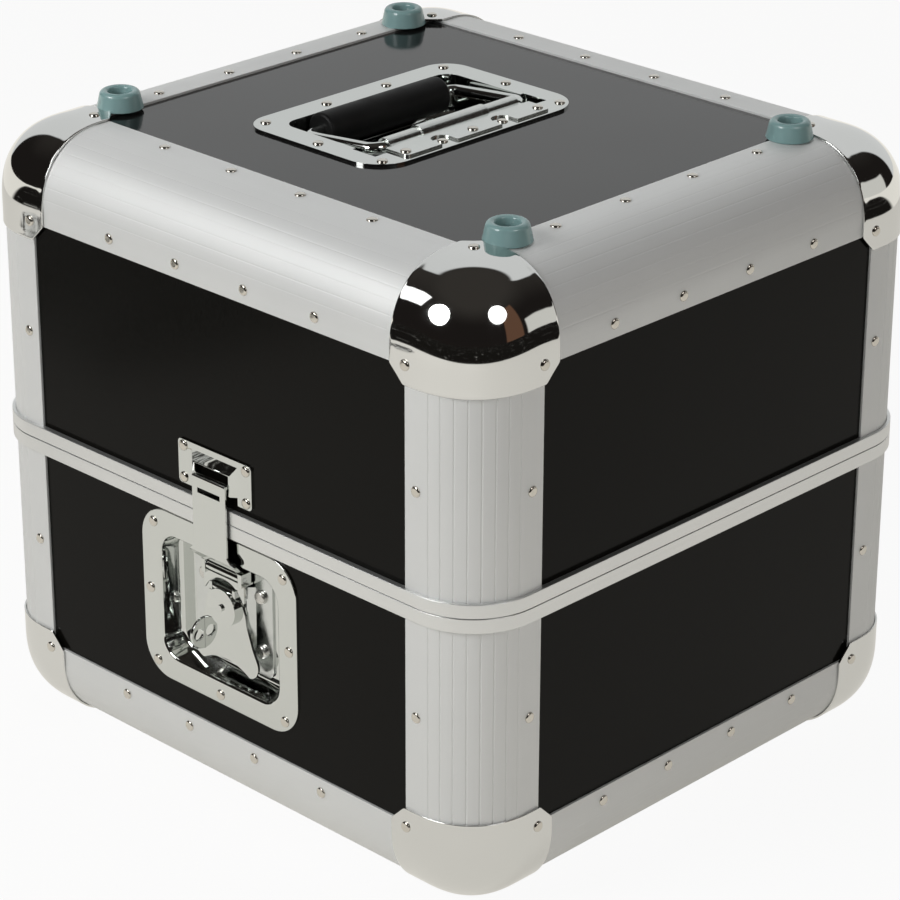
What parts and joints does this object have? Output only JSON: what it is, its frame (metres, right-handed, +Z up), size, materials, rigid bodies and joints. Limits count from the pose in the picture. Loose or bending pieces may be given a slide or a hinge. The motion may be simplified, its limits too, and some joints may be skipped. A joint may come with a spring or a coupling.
{
  "type": "record carrying case",
  "caption": "Cube-shaped record case with a lift-off lid, grooved metal edges, ball corners, recessed butterfly latches and a sprung top handle.",
  "frame": {"origin": "under the middle of the case, on the plane that its bottom corners stand on", "axes": "+Z up, the front with one latch looks towards -Y, +X to its right; the back has the other latch"},
  "size_m": [0.3928, 0.3714, 0.3718],
  "materials": {
    "laminate": "black laminate on plywood, soft gloss",
    "laminate_top": "black laminate on plywood, glossy",
    "profile_aluminium": "satin anodised extrusion",
    "cap_chrome": "bright plated pressed steel",
    "rivet_nickel": "nickel plated steel",
    "foam": "dark foam sheet",
    "latch_chrome": "bright plated pressed steel",
    "latch_zinc": "plated steel",
    "grip_rubber": "matt black rubber",
    "spring_steel": "bare spring wire",
    "foot_plastic": "glossy moulded plastic",
    "screw_steel": "plated steel"
  },
  "bodies": {
    "base": {"base_front_bottom_edge": "profile_aluminium", "base_right_bottom_edge": "profile_aluminium", "base_back_bottom_edge": "profile_aluminium", "base_left_bottom_edge": "profile_aluminium", "base_corner_posts": "profile_aluminium", "base_ball_corners": "cap_chrome", "base_closing_profile": "profile_aluminium", "base_front_panel": "laminate", "base_right_panel": "laminate", "base_back_panel": "laminate", "base_left_panel": "laminate", "base_bottom_panel": "laminate", "base_bottom_pad": "foam", "base_rivets": "rivet_nickel", "latch_dish_front": "latch_chrome", "latch_guide_front": "latch_zinc", "latch_screws_front": "rivet_nickel", "latch_dish_back": "latch_chrome", "latch_guide_back": "latch_zinc", "latch_screws_back": "rivet_nickel"},
    "lid": {"lid_front_top_edge": "profile_aluminium", "lid_right_top_edge": "profile_aluminium", "lid_back_top_edge": "profile_aluminium", "lid_left_top_edge": "profile_aluminium", "lid_corner_posts": "profile_aluminium", "lid_ball_corners": "cap_chrome", "lid_closing_profile": "profile_aluminium", "lid_front_panel": "laminate", "lid_right_panel": "laminate", "lid_back_panel": "laminate", "lid_left_panel": "laminate", "lid_top_panel": "laminate_top", "lid_top_pad": "foam", "lid_rivets": "rivet_nickel", "latch_keeper_front": "latch_chrome", "latch_keeper_back": "latch_chrome", "handle_dish": "latch_chrome", "handle_cover": "latch_chrome", "handle_spring": "spring_steel", "lid_feet": "foot_plastic", "lid_foot_screws": "screw_steel"},
    "handle": {"handle_bail": "latch_chrome", "handle_grip": "grip_rubber"},
    "latch_front_rotor": {"latch_rotor_front": "latch_chrome", "latch_wing_pin_front": "latch_chrome"},
    "latch_front_wing": {"latch_wing_front": "latch_chrome", "latch_padlock_ring_front": "latch_chrome"},
    "latch_front_carriage": {"latch_carriage_front": "latch_chrome", "latch_hook_pin_front": "latch_chrome"},
    "latch_front_hook": {"latch_hook_front": "latch_chrome"},
    "latch_back_rotor": {"latch_rotor_back": "latch_chrome", "latch_wing_pin_back": "latch_chrome"},
    "latch_back_wing": {"latch_wing_back": "latch_chrome", "latch_padlock_ring_back": "latch_chrome"},
    "latch_back_carriage": {"latch_carriage_back": "latch_chrome", "latch_hook_pin_back": "latch_chrome"},
    "latch_back_hook": {"latch_hook_back": "latch_chrome"}
  },
  "joints": [
    {"name": "lid_lift", "type": "slide", "parent": "base", "child": "lid", "axis": [0, 0, 1], "range_m": [0, 0.2]},
    {"name": "handle_swing", "type": "hinge", "parent": "lid", "child": "handle", "pos_m": [0.0015, -0.0025, 0.3603], "axis": [0, 1, 0], "range_deg": [0, 90], "stiffness_Nm_per_rad": 0.2, "springref_deg": -20.05},
    {"name": "latch_front_turn", "type": "hinge", "parent": "base", "child": "latch_front_rotor", "pos_m": [0, -0.181, 0.1253], "axis": [0, -1, 0], "range_deg": [0, 180]},
    {"name": "latch_front_fold", "type": "hinge", "parent": "latch_front_rotor", "child": "latch_front_wing", "pos_m": [0, -0.176, 0.1358], "axis": [-1, 0, 0], "range_deg": [0, 90]},
    {"name": "latch_front_rise", "type": "slide", "parent": "base", "child": "latch_front_carriage", "axis": [0, 0, 1], "range_m": [0, 0.0055]},
    {"name": "latch_front_hook_tilt", "type": "hinge", "parent": "latch_front_carriage", "child": "latch_front_hook", "pos_m": [0, -0.1754, 0.1466], "axis": [1, 0, 0], "range_deg": [0, 30]},
    {"name": "latch_back_turn", "type": "hinge", "parent": "base", "child": "latch_back_rotor", "pos_m": [0, 0.181, 0.1253], "axis": [0, 1, 0], "range_deg": [0, 180]},
    {"name": "latch_back_fold", "type": "hinge", "parent": "latch_back_rotor", "child": "latch_back_wing", "pos_m": [0, 0.176, 0.1358], "axis": [1, 0, 0], "range_deg": [0, 90]},
    {"name": "latch_back_rise", "type": "slide", "parent": "base", "child": "latch_back_carriage", "axis": [0, 0, 1], "range_m": [0, 0.0055]},
    {"name": "latch_back_hook_tilt", "type": "hinge", "parent": "latch_back_carriage", "child": "latch_back_hook", "pos_m": [0, 0.1754, 0.1466], "axis": [-1, 0, 0], "range_deg": [0, 30]}
  ],
  "couplings": [
    {"joint": "latch_front_fold", "follows": "latch_front_turn", "ratio": 0.5},
    {"joint": "latch_front_rise", "follows": "latch_front_turn", "m_per_rad": 0.0017507},
    {"joint": "latch_front_hook_tilt", "follows": "latch_front_turn", "ratio": 0.16667},
    {"joint": "latch_back_fold", "follows": "latch_back_turn", "ratio": 0.5},
    {"joint": "latch_back_rise", "follows": "latch_back_turn", "m_per_rad": 0.0017507},
    {"joint": "latch_back_hook_tilt", "follows": "latch_back_turn", "ratio": 0.16667}
  ]
}
